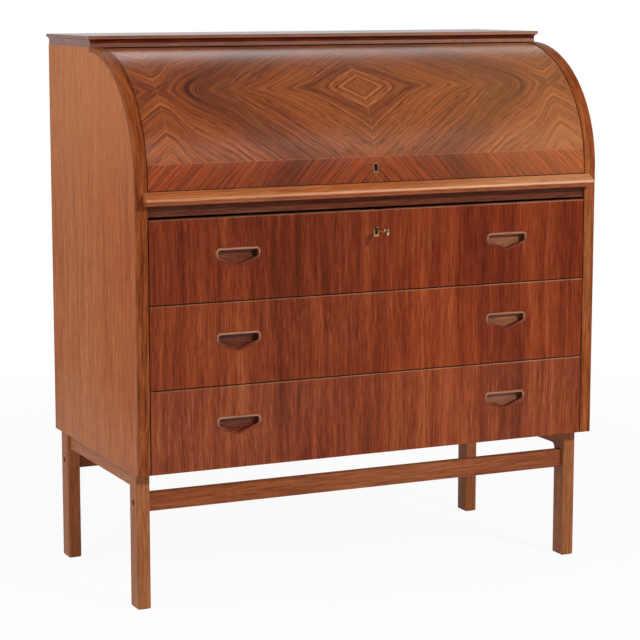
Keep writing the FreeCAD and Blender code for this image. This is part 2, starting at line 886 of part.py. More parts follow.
def pull_prism(middle_x, top_z, inset, y0, y1, extra_top):
    half = pull_width / 2
    fall = pull_height - pull_end_height
    slope = math.atan2(fall, half)
    point_z = top_z - pull_height + inset / math.cos(slope)
    end_x = half - inset
    end_z = point_z + end_x * math.tan(slope)
    head_z = top_z - inset + extra_top
    corners = [
        (-end_x, head_z, pull_top_radius - inset),
        (end_x, head_z, pull_top_radius - inset),
        (end_x, end_z, pull_end_radius - inset),
        (0, point_z, pull_point_radius),
        (-end_x, end_z, pull_end_radius - inset),
    ]
    outline = [Vector(middle_x + x, y0, z) for x, z, radius in corners]
    solid = polygon_prism(outline, Vector(0, y1 - y0, 0))
    for x, z, radius in corners:
        corner = Vector(middle_x + x, (y0 + y1) / 2, z)
        rounded = [
            edge for edge in parallel_edges(solid, Vector(0, 1, 0))
            if edge.CenterOfMass.distanceToPoint(corner) < pin_gap
        ]
        solid = solid.makeFillet(radius, rounded)
    return solid


def pull_places(index):
    top_z = front_bottom(index) + front_height - pull_drop
    return [(-pull_spread / 2, top_z), (pull_spread / 2, top_z)]


def drawer_pulls(index):
    pulls = []
    face_y = front_y - pull_proud
    for x, top_z in pull_places(index):
        body = pull_prism(x, top_z, 0, face_y, front_y + pull_depth, 0)
        rim_face = min(body.Faces, key=lambda face: face.CenterOfMass.y)
        body = body.makeFillet(pull_rim_round, rim_face.Edges)
        floor_y = front_y + pull_pocket
        pocket = pull_prism(x, top_z, pull_rim, face_y - cut_overrun, floor_y, 0)
        grip = pull_prism(x, top_z, pull_rim, front_y + pull_undercut_start, floor_y, pull_undercut)
        pulls.append(body.cut(pocket).cut(grip))
    return Part.makeCompound(pulls)


def drawer_front(index):
    edge_x = inner_x - front_side_gap
    bottom_z = front_bottom(index)
    top_z = bottom_z + front_height
    front = block(-edge_x, edge_x, front_y, front_back_y, bottom_z, top_z)
    face = min(front.Faces, key=lambda each: each.CenterOfMass.y)
    front = front.makeFillet(front_edge_radius, face.Edges)
    for x, pull_top_z in pull_places(index):
        front = front.cut(pull_prism(x, pull_top_z, 0, front_y - cut_overrun, front_y + pull_depth, 0))
    if index == len(drawer_names) - 1:
        half = lock_width / 2
        front = front.cut(block(
            -half, half, lock_front_y, front_back_y + cut_overrun,
            key_z - lock_foot, top_z + cut_overrun,
        ))
        front = front.cut(keyhole(front_y - cut_overrun, lock_front_y + cut_overrun, key_z))
        front = front.cut(plate_blank(front_y - cut_overrun, front_y + plate_thickness, key_z))
    return front


def drawer_sides(index):
    bottom_z = box_bottom(index)
    board = block(
        drawer_inner_x, drawer_outer_x, front_back_y, drawer_rear_y,
        bottom_z, bottom_z + drawer_box_height,
    )
    reach_x = inner_x - runner_width - glide_gap
    runner_half = runner_height / 2 + glide_gap
    groove = block(
        reach_x, drawer_outer_x + cut_overrun,
        front_back_y + runner_start - glide_gap, drawer_rear_y + cut_overrun,
        runner_middle(index) - runner_half, runner_middle(index) + runner_half,
    )
    panel_z = bottom_z + drawer_bottom_lift
    slot = block(
        drawer_inner_x - cut_overrun, drawer_inner_x + drawer_bottom_tongue,
        front_back_y - cut_overrun, drawer_rear_y + cut_overrun,
        panel_z, panel_z + drawer_bottom_thickness,
    )
    return pair(board.cut(groove).cut(slot))


def drawer_bottom(index):
    panel_z = box_bottom(index) + drawer_bottom_lift
    edge_x = drawer_inner_x + drawer_bottom_tongue
    return block(
        -edge_x, edge_x, front_back_y, drawer_rear_y, panel_z, panel_z + drawer_bottom_thickness,
    )


def drawer_back(index):
    foot_z = box_bottom(index) + drawer_bottom_lift + drawer_bottom_thickness
    return block(
        -drawer_inner_x, drawer_inner_x, drawer_rear_y - drawer_back_thickness, drawer_rear_y,
        foot_z, box_bottom(index) + drawer_box_height,
    )


# Gallery
def gallery_shelf():
    notch_x = yoke_inner_x - 2 * link_gap
    wing_y = yoke_y + yoke_half + yoke_end_margin
    shelf = block(
        -notch_x, notch_x, gallery_front_y - gallery_shelf_nosing, back_inner_y,
        gallery_shelf_z, gallery_floor_z,
    )
    shelf = ease_front(shelf, gallery_edge_radius, Vector(1, 0, 0))
    wings = block(-inner_x, inner_x, wing_y, back_inner_y, gallery_shelf_z, gallery_floor_z)
    return shelf.fuse(wings).removeSplitter()


def gallery_ends():
    end = block(bay_edge_x, gallery_x, gallery_front_y, gallery_back_y, gallery_floor_z, gallery_top_z)
    return pair(ease_front(end, gallery_edge_radius, Vector(0, 0, 1)))


def gallery_boards():
    low_z = gallery_floor_z + inner_drawer_height
    boards = []
    for z0 in (low_z, gallery_top_z - gallery_board_thickness):
        board = block(
            -bay_edge_x, bay_edge_x, gallery_front_y, gallery_back_y,
            z0, z0 + gallery_board_thickness,
        )
        boards.append(ease_front(board, gallery_edge_radius, Vector(1, 0, 0)))
    return Part.makeCompound(boards)


def gallery_dividers():
    low_z = gallery_floor_z + inner_drawer_height
    x0 = bay_width / 2
    x1 = x0 + gallery_board_thickness
    rows = (
        (gallery_floor_z, low_z),
        (low_z + gallery_board_thickness, gallery_top_z - gallery_board_thickness),
    )
    dividers = []
    for z0, z1 in rows:
        divider = block(x0, x1, gallery_front_y, gallery_back_y, z0, z1)
        dividers.extend(pair(ease_front(divider, gallery_edge_radius, Vector(0, 0, 1))).Solids)
    return Part.makeCompound(dividers)


def gallery_back():
    return block(
        -gallery_x, gallery_x, gallery_back_y, gallery_back_y + gallery_back_thickness,
        gallery_floor_z, gallery_top_z,
    )


def inner_drawer_middle():
    return bay_width + gallery_board_thickness


def inner_drawer_tray():
    middle_x = inner_drawer_middle()
    half = bay_width / 2 - inner_drawer_gap
    z0 = gallery_floor_z + glide_gap
    z1 = gallery_floor_z + inner_drawer_height - inner_drawer_gap
    tray = block(
        middle_x - half, middle_x + half, gallery_front_y, gallery_front_y + inner_drawer_depth, z0, z1,
    )
    face = min(tray.Faces, key=lambda each: each.CenterOfMass.y)
    tray = tray.makeFillet(gallery_edge_radius, face.Edges)
    inside = half - inner_drawer_wall
    hollow = block(
        middle_x - inside, middle_x + inside, gallery_front_y + inner_drawer_front,
        gallery_front_y + inner_drawer_depth - inner_drawer_wall,
        z0 + inner_drawer_bottom, z1 + cut_overrun,
    )
    middle_z = (z0 + z1) / 2
    tenon_y = gallery_front_y + knob_tenon
    tenon = round_y(knob_tenon_radius, gallery_front_y, tenon_y, middle_x, middle_z)
    return tray.cut(hollow).cut(tenon)


def inner_drawer_knob():
    middle_x = inner_drawer_middle()
    z = gallery_floor_z + (inner_drawer_height - inner_drawer_gap + glide_gap) / 2
    face_y = gallery_front_y - knob_length
    head = round_y(knob_radius, face_y, face_y + knob_head_length, middle_x, z)
    head = head.makeFillet(knob_round, head.Edges)
    neck = round_y(knob_neck_radius, face_y + knob_head_length / 2, gallery_front_y, middle_x, z)
    tenon = round_y(knob_tenon_radius, gallery_front_y, gallery_front_y + knob_tenon, middle_x, z)
    return head.fuse(neck).fuse(tenon).removeSplitter()


os.makedirs("parts", exist_ok=True)

save("left_side", mirrored(right_side()))
save("right_side", right_side())
save("side_lippings", pair(right_lipping()))
save("top_board", top_board())
save("back_panel", back_panel())
save("bottom_board", bottom_board())
save("slab_front_rail", slab_front_rail())
save("slab_rear_rail", slab_rear_rail())
save("slab_bearers", slab_bearers())
save("drawer_runners", drawer_runners())

save("front_left_leg", leg(-1, front_leg_y))
save("front_right_leg", leg(1, front_leg_y))
save("rear_left_leg", leg(-1, rear_leg_y))
save("rear_right_leg", leg(1, rear_leg_y))
save("leg_rails", pair(leg_rail()))
save("front_stretcher", stretcher(front_leg_middle))
save("rear_stretcher", stretcher(rear_leg_middle))
save("stretcher_bolts", stretcher_bolts())
save("leg_rail_screws", leg_rail_screws())

save("writing_slab", writing_slab())
save("slab_strip", slab_strip())
save("slab_yokes", slab_yokes())
save("link_levers", link_levers())
save("link_rods", link_rods())
save("lever_pivot_studs", lever_pivot_studs())
save("lid_pivot_pins", lid_pivot_pins())

save("lid_shell", lid_shell())
save("lid_cheeks", lid_cheeks())
save("lid_escutcheon", lid_escutcheon())
save("lid_lock_case", lid_lock_case())
save("lid_lock_bolt", lid_lock_bolt())

for number, drawer in enumerate(drawer_names):
    save(drawer + "_front", drawer_front(number))
    save(drawer + "_sides", drawer_sides(number))
    save(drawer + "_bottom", drawer_bottom(number))
    save(drawer + "_back", drawer_back(number))
    save(drawer + "_pulls", drawer_pulls(number))

save("drawer_escutcheon", drawer_escutcheon())
save("drawer_lock_case", drawer_lock_case())
save("drawer_lock_bolt", drawer_lock_bolt())
save("drawer_key", drawer_key())

save("gallery_shelf", gallery_shelf())
save("gallery_ends", gallery_ends())
save("gallery_boards", gallery_boards())
save("gallery_dividers", gallery_dividers())
save("gallery_back", gallery_back())
save("left_inner_drawer", mirrored(inner_drawer_tray()))
save("right_inner_drawer", inner_drawer_tray())
save("left_inner_knob", mirrored(inner_drawer_knob()))
save("right_inner_knob", inner_drawer_knob())
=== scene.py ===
import math

import bmesh
import bpy
from mathutils import Matrix, Vector


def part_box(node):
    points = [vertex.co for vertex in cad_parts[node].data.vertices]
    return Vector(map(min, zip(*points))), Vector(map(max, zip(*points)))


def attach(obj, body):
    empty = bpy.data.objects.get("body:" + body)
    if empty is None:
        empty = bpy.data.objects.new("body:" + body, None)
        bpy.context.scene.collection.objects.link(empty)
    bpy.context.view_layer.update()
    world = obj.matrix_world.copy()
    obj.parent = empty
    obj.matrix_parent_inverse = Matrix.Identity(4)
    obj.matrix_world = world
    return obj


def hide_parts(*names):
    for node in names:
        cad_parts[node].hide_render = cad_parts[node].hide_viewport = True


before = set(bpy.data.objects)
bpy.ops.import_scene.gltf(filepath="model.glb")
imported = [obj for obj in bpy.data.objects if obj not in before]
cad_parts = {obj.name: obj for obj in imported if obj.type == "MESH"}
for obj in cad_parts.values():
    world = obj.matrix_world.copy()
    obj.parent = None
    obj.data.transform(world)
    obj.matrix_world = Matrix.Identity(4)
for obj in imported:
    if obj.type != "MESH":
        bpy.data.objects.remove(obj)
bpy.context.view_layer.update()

# Studio: a pale floor without edges, a fairly hard lamp from the front right with a weak one in
# its place for glints, and a wide soft fill from the left. Mirrors see a dim room in front, a
# white wall behind on the left and a window behind on the right, for the sheen on the lid.
scene = bpy.context.scene
scene.view_settings.view_transform = "Standard"


def put(tree, kind, inputs=None, **settings):
    """Adds a node, with its settings and its inputs, each a value or another node's output."""
    made = tree.nodes.new(kind)
    for name, value in settings.items():
        setattr(made, name, value)
    for key, value in (inputs or {}).items():
        if isinstance(value, bpy.types.NodeSocket):
            tree.links.new(value, made.inputs[key])
        else:
            made.inputs[key].default_value = value
    return made


def calc(tree, operation, a, b=0.0, c=0.0):
    return put(tree, "ShaderNodeMath", {0: a, 1: b, 2: c}, operation=operation).outputs[0]


def reach(tree, value, low, high, to_low=0.0, to_high=1.0, smooth=False):
    """Goes from one level to another while the value goes from low to high."""
    kind = "SMOOTHSTEP" if smooth else "LINEAR"
    return put(tree, "ShaderNodeMapRange", {0: value, 1: low, 2: high, 3: to_low, 4: to_high},
               interpolation_type=kind).outputs[0]


def seen_directly(tree):
    """1 for rays from the camera, a mirror or a pane, which see the white surround itself."""
    ray = put(tree, "ShaderNodeLightPath").outputs
    most = calc(tree, "MAXIMUM", ray["Is Camera Ray"], ray["Is Glossy Ray"])
    return calc(tree, "MAXIMUM", most, ray["Is Transmission Ray"])


surround = bpy.data.worlds.new("white_surround")
scene.world = surround
surround.use_nodes = True
tree = surround.node_tree
tree.nodes.clear()
room_light, dim_wall, dim_ceiling = 0.32, 0.10, 0.14
white_wall, window_sill, window_light = 1.0, 0.9, 4.5
way = put(tree, "ShaderNodeSeparateXYZ",
          {0: put(tree, "ShaderNodeTexCoord").outputs["Generated"]}).outputs
room = reach(tree, way["Z"], 0.45, 0.85, dim_wall, dim_ceiling)
left_wall = reach(tree, way["Y"], 0.32, 0.52, room, white_wall)
window = reach(tree, way["Z"], 0.62, 0.80, window_light, white_wall)
window = reach(tree, way["Z"], 0.32, 0.44, window_sill, window)
right_wall = reach(tree, way["Y"], 0.53, 0.94, room, window, smooth=True)
behind = reach(tree, way["X"], -0.2, 0.2, left_wall, right_wall)
ray = put(tree, "ShaderNodeLightPath").outputs
straight = calc(tree, "MAXIMUM", ray["Is Camera Ray"], ray["Is Transmission Ray"])
mirrored = calc(tree, "MULTIPLY", ray["Is Glossy Ray"], behind)
lit = put(tree, "ShaderNodeBackground", {"Color": (1.0, 0.985, 0.965, 1), "Strength": room_light})
shown = put(tree, "ShaderNodeBackground",
            {"Color": (1, 1, 1, 1), "Strength": calc(tree, "MAXIMUM", straight, mirrored)})
either = put(tree, "ShaderNodeMixShader",
             {0: seen_directly(tree), 1: lit.outputs[0], 2: shown.outputs[0]})
put(tree, "ShaderNodeOutputWorld", {"Surface": either.outputs[0]})

floor_radius, shadow_reach = 2.6, 0.8
near_white, far_white = 0.93, 1.0
floor_shape = bmesh.new()
bmesh.ops.create_circle(floor_shape, cap_ends=True, segments=128, radius=floor_radius)
floor_mesh = bpy.data.meshes.new("studio_floor")
floor_shape.to_mesh(floor_mesh)
floor_shape.free()
floor = bpy.data.objects.new("studio_floor", floor_mesh)
scene.collection.objects.link(floor)
floor_finish = bpy.data.materials.new("pale_floor")
floor_finish.use_nodes = True
tree = floor_finish.node_tree
tree.nodes.clear()
away = put(tree, "ShaderNodeVectorMath", {0: put(tree, "ShaderNodeTexCoord").outputs["Object"]},
           operation="LENGTH").outputs["Value"]
fade = reach(tree, away, shadow_reach, floor_radius * 0.96, near_white, far_white, smooth=True)
matt = put(tree, "ShaderNodeBsdfDiffuse", {"Color": (0.84, 0.83, 0.82, 1)})
white = put(tree, "ShaderNodeEmission", {"Color": (1, 1, 1, 1), "Strength": 1.0})
share = calc(tree, "MULTIPLY", seen_directly(tree), fade)
either = put(tree, "ShaderNodeMixShader", {0: share, 1: matt.outputs[0], 2: white.outputs[0]})
put(tree, "ShaderNodeOutputMaterial", {"Surface": either.outputs[0]})
floor_mesh.materials.append(floor_finish)


def softbox(name, place, aim, side, power, colour):
    lamp = bpy.data.lights.new(name, "AREA")
    lamp.shape = "SQUARE"
    lamp.size, lamp.energy, lamp.color = side, power, colour
    holder = bpy.data.objects.new(name, lamp)
    holder.location = place
    holder.rotation_euler = (Vector(aim) - Vector(place)).to_track_quat("-Z", "Y").to_euler()
    scene.collection.objects.link(holder)
    return holder


lamp_place, lamp_aim, warm_white = (1.45, -3.40, 2.25), (0, -0.2, 0.6), (1.0, 0.97, 0.93)
front_lamp = softbox("front_lamp", lamp_place, lamp_aim, 0.32, 112, warm_white)
front_lamp.visible_glossy = False
front_glint = softbox("front_glint", lamp_place, lamp_aim, 0.45, 9, warm_white)
front_glint.visible_diffuse = False
left_fill = softbox("left_fill", (-2.9, -0.7, 2.0), (-0.45, 0.05, 0.65), 2.2, 60, (1.0, 0.98, 0.96))
left_fill.visible_glossy = False

# Camera: the place, turn and lens that were fitted to the edges of the desk, from the left
# and a little above its top. The shift is the photograph's framing.
eye = Vector((-1.6539, -3.4713, 1.0610))
yaw, pitch, roll = (math.radians(a) for a in (24.316, 8.680, -0.112))
focal_pixels, middle_x, middle_y = 2094.0, 285.0, 311.0
picture_side, sensor = 640.0, 36.0
ahead = Vector((math.sin(yaw) * math.cos(pitch), math.cos(yaw) * math.cos(pitch), -math.sin(pitch)))
level = Vector((math.cos(yaw), -math.sin(yaw), 0.0))
above = level.cross(ahead)
right = math.cos(roll) * level + math.sin(roll) * above
above = -math.sin(roll) * level + math.cos(roll) * above
lens = bpy.data.cameras.new("photo_camera")
lens.sensor_width = sensor
lens.lens = focal_pixels * sensor / picture_side
lens.shift_x = (picture_side / 2 - middle_x) / picture_side
lens.shift_y = (middle_y - picture_side / 2) / picture_side
camera = bpy.data.objects.new("photo_camera", lens)
camera.matrix_world = Matrix.Translation(eye) @ Matrix((right, above, -ahead)).transposed().to_4x4()
scene.collection.objects.link(camera)
scene.camera = camera

# Side panels: blockboard faced with straight-grained teak veneer, sliced so that the
# figure runs upright, and rubbed with oil to a soft sheen.


def paint(code):
    """A colour written as it looks on screen, made linear for the shader."""
    shares = [int(code[i:i + 2], 16) / 255 for i in (0, 2, 4)]
    return (*[((s + 0.055) / 1.055) ** 2.4 if s > 0.04045 else s / 12.92 for s in shares], 1.0)


def blank_finish(name):
    made = bpy.data.materials.new(name)
    made.use_nodes = True
    made.node_tree.nodes.clear()
    return made, made.node_tree


def noise(tree, place, scale, detail=3.0, rough=0.5, shift=(0, 0, 0)):
    spread = put(tree, "ShaderNodeMapping", {"Vector": place, "Scale": scale, "Location": shift})
    return put(tree, "ShaderNodeTexNoise",
               {"Vector": spread.outputs[0], "Scale": 1.0, "Detail": detail, "Roughness": rough}).outputs[0]


def ramp(tree, value, stops):
    made = put(tree, "ShaderNodeValToRGB", {0: value})
    points = made.color_ramp.elements
    while len(points) < len(stops):
        points.new(0.5)
    for point, (place, colour) in zip(points, stops):
        point.position, point.color = place, colour
    return made.outputs[0]


def tint(tree, kind, share, a, b):
    made = put(tree, "ShaderNodeMix", {0: share, 6: a, 7: b}, data_type="RGBA", blend_type=kind)
    return made.outputs[2]


def along_scale(along, across, lengthwise):
    """Scale of a pattern that is long in the grain's direction."""
    return tuple(lengthwise if axis == along else across for axis in "XYZ")


def satin(tree, colour, rough, height, bump, specular):
    """An oiled wood surface: satin gloss that varies with the grain, and open pores."""
    relief = put(tree, "ShaderNodeBump", {"Strength": bump, "Distance": 0.0004, "Height": height})
    skin = put(tree, "ShaderNodeBsdfPrincipled",
               {"Base Color": colour, "Roughness": rough, "Normal": relief.outputs[0],
                "Specular IOR Level": specular})
    put(tree, "ShaderNodeOutputMaterial", {"Surface": skin.outputs[0]})


def arris_glint_and_wear(tree, place, width):
    """1 along a piece's upper arrises, less on the lower ones, broken up in patches: a painted highlight on
    the eased arrises, with some wear.
    """
    rounded = put(tree, "ShaderNodeBevel", {"Radius": width}, samples=4).outputs[0]
    flat = put(tree, "ShaderNodeNewGeometry").outputs["Normal"]
    turned = put(tree, "ShaderNodeVectorMath", {0: rounded, 1: flat},
                 operation="DOT_PRODUCT").outputs["Value"]
    upward = put(tree, "ShaderNodeSeparateXYZ", {0: rounded}).outputs["Z"]
    patch = reach(tree, noise(tree, place, (14.0, 14.0, 14.0), 4.0, 0.6), 0.36, 0.60, 0.45, 1.0)
    patch = calc(tree, "MULTIPLY", patch, reach(tree, upward, -0.25, 0.20, 0.25, 1.0))
    return calc(tree, "MULTIPLY", reach(tree, turned, 0.985, 0.86, 0.0, 1.0), patch)


def teak(name, along, tones, seed, contrast=1.0, place=None, bands=0.16, gloss=0.46, specular=0.14,
         arris=(0.45, 0.0014), shade=None, figure=(0.55, 1.25, 1.1)):
    """Straight-grained wood: slow drifts of tone, streaks, short flecks, fibres, veins and pores, with
    paler arrises that are part painted highlight and part wear.
    """
    made, tree = blank_finish(name)
    here = put(tree, "ShaderNodeTexCoord").outputs["Object"]
    place = place(tree) if place else here
    edge_share, edge_width = arris
    streaks, flecks, fibres = (share * contrast for share in figure)
    edge = arris_glint_and_wear(tree, place, edge_width)
    shift = (seed * 3.1, seed * 1.7, seed * 2.3)
    sway = calc(tree, "SUBTRACT", noise(tree, place, (2.2, 2.2, 2.2), 2.0, 0.5, shift), 0.5)
    sway = calc(tree, "MULTIPLY", sway, 0.030)
    sideways = {i: sway for i, axis in enumerate("XYZ") if axis != along}
    place = put(tree, "ShaderNodeVectorMath",
                {0: place, 1: put(tree, "ShaderNodeCombineXYZ", sideways).outputs[0]}).outputs[0]
    broad = noise(tree, place, along_scale(along, 9.0, 0.5), 2.0, 0.5, shift)
    streak = noise(tree, place, along_scale(along, 60.0, 2.0), 3.0, 0.6, shift)
    fleck = noise(tree, place, along_scale(along, 280.0, 11.0), 3.0, 0.6, shift)
    fibre = noise(tree, place, along_scale(along, 800.0, 28.0), 2.0, 0.6, shift)
    value = calc(tree, "MULTIPLY_ADD", calc(tree, "SUBTRACT", broad, 0.5), 2.0 * bands, 0.5)
    value = calc(tree, "MULTIPLY_ADD", calc(tree, "SUBTRACT", streak, 0.5), streaks, value)
    value = calc(tree, "MULTIPLY_ADD", calc(tree, "SUBTRACT", fleck, 0.5), flecks, value)
    value = calc(tree, "MULTIPLY_ADD", calc(tree, "SUBTRACT", fibre, 0.5), fibres, value)
    deep, dark, mid, light = (paint(t) for t in tones)
    colour = ramp(tree, value, [(0.08, deep), (0.36, dark), (0.58, mid), (0.92, light)])
    vein = noise(tree, place, along_scale(along, 42.0, 0.9), 4.0, 0.6, (seed, -seed, seed))
    vein = calc(tree, "ABSOLUTE", calc(tree, "SUBTRACT", vein, 0.5))
    vein = reach(tree, vein, 0.0, 0.018, 0.30 * contrast, 0.0, smooth=True)
    colour = tint(tree, "MULTIPLY", vein, colour, paint("8a5a44"))
    drift = noise(tree, place, (2.6, 2.6, 1.9), 2.0, 0.5, (seed, seed, -seed))
    colour = tint(tree, "MULTIPLY", reach(tree, drift, 0.36, 0.64, 0.0, 0.8, smooth=True), colour,
                  paint("fbe6d2"))
    if shade:
        colour = shade(tree, put(tree, "ShaderNodeSeparateXYZ", {0: here}).outputs, colour)
    pore = noise(tree, place, along_scale(along, 1300.0, 48.0), 1.0, 0.5, shift)
    pore = reach(tree, pore, 0.58, 0.70, 0.0, 0.48, smooth=True)
    colour = tint(tree, "MULTIPLY", pore, colour, paint("6a4232"))
    # Paler arrises: a painted highlight where light catches the eased edges, with some wear.
    lightening = tuple(0.6 * own + 0.4 * bare for own, bare in zip(light, paint("e6cdb2")))
    colour = tint(tree, "MIX", calc(tree, "MULTIPLY", edge, edge_share), colour, lightening)
    rough = calc(tree, "MULTIPLY_ADD", fibre, 0.16, gloss - 0.08)
    rough = calc(tree, "MULTIPLY_ADD", pore, 0.22, rough)
    height = calc(tree, "MULTIPLY_ADD", pore, -1.2, fibre)
    satin(tree, colour, rough, height, 0.16, specular)
    return made


def dress(finish, *nodes):
    for node in nodes:
        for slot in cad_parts[node].material_slots:
            slot.material = finish


def top_light_and_tone(tree, spot, colour):
    """Painted light: the panel is paler at the top. It is also paler at the rear, warmer towards its front
    edge and paler near its foot.
    """
    front = reach(tree, spot["Y"], -0.20, 0.16, 0.9, 0.0, smooth=True)
    colour = tint(tree, "MULTIPLY", front, colour, paint("fbe2c6"))
    top = reach(tree, spot["Z"], 0.55, 0.95, 0.0, 0.35, smooth=True)
    colour = tint(tree, "MIX", top, colour, paint("c48a5a"))
    foot = reach(tree, spot["Z"], 0.24, 0.42, 0.22, 0.0, smooth=True)
    return tint(tree, "MIX", foot, colour, paint("b88670"))


side_teak = teak("side_teak", "Z", ("783b1b", "96542b", "aa6538", "c08150"), 1.0, 0.95,
                 gloss=0.5, specular=0.06, shade=top_light_and_tone)
dress(side_teak, "left_side", "right_side")

# Lippings: solid teak strips glued round the panels' front edges, straight up to the
# lid's axis and bent round the quarter circle, so their grain follows the curve.
axis_y, axis_z = 0.023, 0.740
lipping_radius = 0.221


def bent(radius):
    """Places along a strip that stands upright and then bends back round the lid's axis."""
    def place(tree):
        flat = put(tree, "ShaderNodeSeparateXYZ",
                   {0: put(tree, "ShaderNodeTexCoord").outputs["Object"]}).outputs
        out = calc(tree, "SUBTRACT", axis_y, flat["Y"])
        rise = calc(tree, "SUBTRACT", flat["Z"], axis_z)
        up = calc(tree, "MAXIMUM", rise, 0.0)
        turn = calc(tree, "ARCTAN2", up, out)
        reached = calc(tree, "SQRT", calc(tree, "ADD", calc(tree, "MULTIPLY", out, out),
                                          calc(tree, "MULTIPLY", up, up)))
        length = calc(tree, "MULTIPLY_ADD", turn, radius, calc(tree, "MINIMUM", rise, 0.0))
        return put(tree, "ShaderNodeCombineXYZ", {0: flat["X"], 1: reached, 2: length}).outputs[0]
    return place


# Painted shade: the lippings are darker towards the left.
def painted_shade_left(tree, spot, colour):
    return tint(tree, "MULTIPLY", reach(tree, spot["X"], -0.2, 0.2, 0.5, 0.0), colour, paint("cdb2a0"))


lipping_teak = teak("lipping_teak", "Z", ("582811", "783e1f", "90522c", "ab6c42"), 2.0, 1.0,
                    bent(lipping_radius), specular=0.07, shade=painted_shade_left)
dress(lipping_teak, "side_lippings")

# Top board: dark, solid-edged teak with the grain from end to end, moulded on three edges.
# The rail below the writing slab is cut from the same dark stock.
board_low, board_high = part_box("top_board")
moulding_depth, lip_height, fascia_height, soft_line = 0.0075, 0.0060, 0.0062, 0.0004


def moulding_light_and_shade(tree, spot, colour):
    """Painted highlights on the flats of the lip and the fascia, most of all to the right, and painted
    shade in the cove between them.
    """
    front_edge, lip_foot = board_low[1] + moulding_depth, board_high[2] - lip_height
    fascia_top = board_low[2] + fascia_height
    front = calc(tree, "MULTIPLY", reach(tree, spot["Y"], front_edge, front_edge + 0.0015, 1.0, 0.0),
                 reach(tree, spot["Z"], board_high[2] - 0.0008, board_high[2] - 0.0001, 1.0, 0.0))
    flats = calc(tree, "ADD", reach(tree, spot["Z"], lip_foot - soft_line, lip_foot + soft_line),
                 reach(tree, spot["Z"], fascia_top - soft_line, fascia_top + soft_line, 1.0, 0.0))
    moulding_glint = calc(tree, "MULTIPLY", flats, reach(tree, spot["X"], -0.45, 0.45, 0.14, 0.42))
    colour = tint(tree, "MIX", calc(tree, "MULTIPLY", front, moulding_glint), colour, paint("c09c8c"))
    # Painted shade in the cove between the lip and the fascia.
    hollow = calc(tree, "MULTIPLY", front, calc(tree, "SUBTRACT", 1.0, flats))
    return tint(tree, "MULTIPLY", hollow, colour, paint("c8a898"))


top_teak = teak("top_teak", "X", ("40190d", "5c2a18", "753c25", "94583b"), 3.0, 0.7,
                bands=0.2, gloss=0.22, specular=0.2, arris=(0.6, 0.0022), shade=moulding_light_and_shade)
dress(top_teak, "top_board")
rail_teak = teak("rail_teak", "X", ("482216", "5a2e1f", "6c3b29", "7e4a36"), 4.0, 0.7)
dress(rail_teak, "slab_front_rail")

# Lid: bent plywood faced with slanted leaves of figured teak. Each leaf is the mirror of
# its neighbours, so the grain closes into diamonds round the middle and turns at the ends.
# The figure's tones lie across a leaf's grain, in millimetres from its corner on the seam.
lid_radius = 0.223
leaf_length, leaf_height, middle_height = 0.3855, 0.136, 0.171
grain_slope, foot_slope = math.radians(36.5), math.radians(46.0)
figure_width, wander_width, ripple_width = 0.34, 0.010, 0.0045
figure_stops = ((0, "8e502a"), (20, "8f512b"), (23, "a86b42"), (26, "8b4d28"), (34, "8d4f29"),
                (37, "a96c43"), (40, "834726"), (56, "814626"), (65, "864928"), (68, "a86c44"),
                (70, "683519"), (74, "8e5029"), (108, "8f5129"), (138, "894c29"), (154, "7f4727"),
                (182, "784225"), (204, "6f3b20"), (208, "804525"), (212, "68331a"), (216, "8b4d2a"),
                (222, "7c4224"), (226, "8e502c"), (249, "90512c"), (251, "a16640"), (254, "8e502c"),
                (301, "94552f"), (303, "a26a3e"), (306, "945530"), (340, "9b5b35"))


